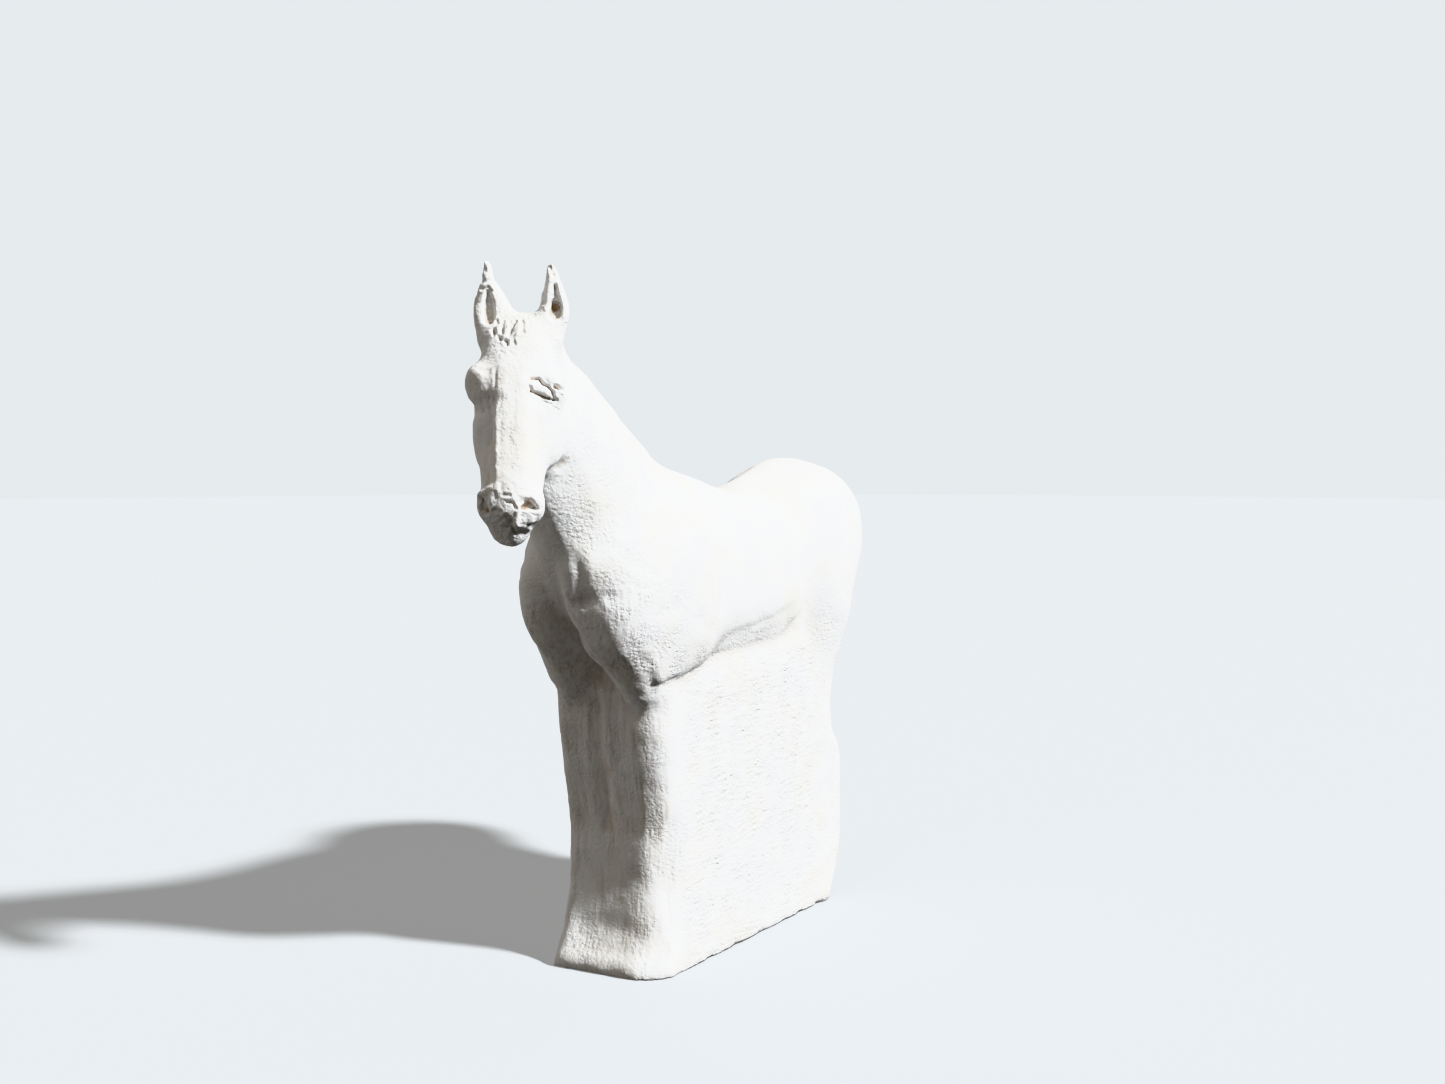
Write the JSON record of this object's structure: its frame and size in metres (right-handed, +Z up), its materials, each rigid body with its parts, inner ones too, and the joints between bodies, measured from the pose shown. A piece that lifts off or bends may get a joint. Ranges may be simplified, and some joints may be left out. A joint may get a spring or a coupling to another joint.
{
  "type": "horse sculpture",
  "caption": "Standing horse carved in white unglazed stoneware, its legs left as one upright block; a figure for display on a plinth or shelf.",
  "frame": {"origin": "centre of the flat underside that the figure stands on", "axes": "+Z up, -Y the way the body faces, +X the horse's own left, towards which the head is turned"},
  "size_m": [0.1081, 0.4257, 0.4183],
  "materials": {
    "white_stoneware": "unglazed, grogged, matt"
  },
  "bodies": {
    "root": {"stoneware_horse": "white_stoneware"}
  },
  "joints": []
}
